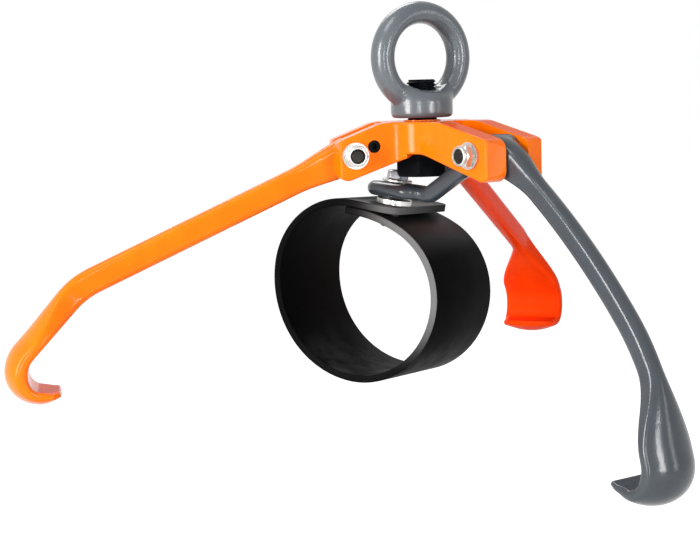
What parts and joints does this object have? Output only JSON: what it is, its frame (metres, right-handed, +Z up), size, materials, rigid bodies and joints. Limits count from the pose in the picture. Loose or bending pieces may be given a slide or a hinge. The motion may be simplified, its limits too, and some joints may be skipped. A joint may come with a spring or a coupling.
{
  "type": "drum clamp",
  "caption": "Hoist clamp for drums: a forked hub under a swivelling lifting eye, fixed hook arms, and a pivoted hook lever with a rubber loop bolted to its tail.",
  "frame": {"origin": "centre of the lifting eye's ring", "axes": "+Z up, along the lifting eye's screw; +X from the screw towards the pivoted lever; +Y makes the frame right-handed"},
  "size_m": [0.4606, 0.6014, 0.3683],
  "materials": {
    "orange_paint": "glossy orange enamel on forged and cast steel",
    "grey_paint": "glossy mid-grey enamel on forged steel",
    "zinc_steel": "bright zinc-plated steel",
    "black_steel": "black oxide steel",
    "black_rubber": "satin black belt rubber",
    "bronze": "plain bearing bronze"
  },
  "bodies": {
    "eye": {"eye_nut": "grey_paint", "eye_screw": "black_steel", "eye_washer": "black_steel"},
    "frame": {"hub": "orange_paint", "left_arm": "orange_paint", "left_arm_bolt": "zinc_steel", "left_arm_nut": "zinc_steel", "left_arm_washers": "zinc_steel", "left_lock_screw": "black_steel", "rear_arm": "orange_paint", "rear_arm_bolt": "zinc_steel", "rear_arm_nut": "zinc_steel", "rear_arm_washers": "zinc_steel", "rear_lock_screw": "black_steel", "pivot_bolt": "zinc_steel", "pivot_nut": "zinc_steel", "pivot_washers": "zinc_steel"},
    "lever": {"lever": "grey_paint", "pivot_bush": "bronze", "band": "black_rubber", "band_spacer": "zinc_steel", "band_top_washer": "zinc_steel", "band_inner_washer": "zinc_steel", "band_nut": "zinc_steel", "band_bolt": "zinc_steel"}
  },
  "joints": [
    {"name": "eye_swivel", "type": "hinge", "parent": "eye", "child": "frame", "pos_m": [0, 0, -0.06], "axis": [0, 0, 1], "continuous": true},
    {"name": "lever_pivot", "type": "hinge", "parent": "frame", "child": "lever", "pos_m": [0.088, 0, -0.076], "axis": [0, -1, 0], "range_deg": [0, 35]}
  ]
}
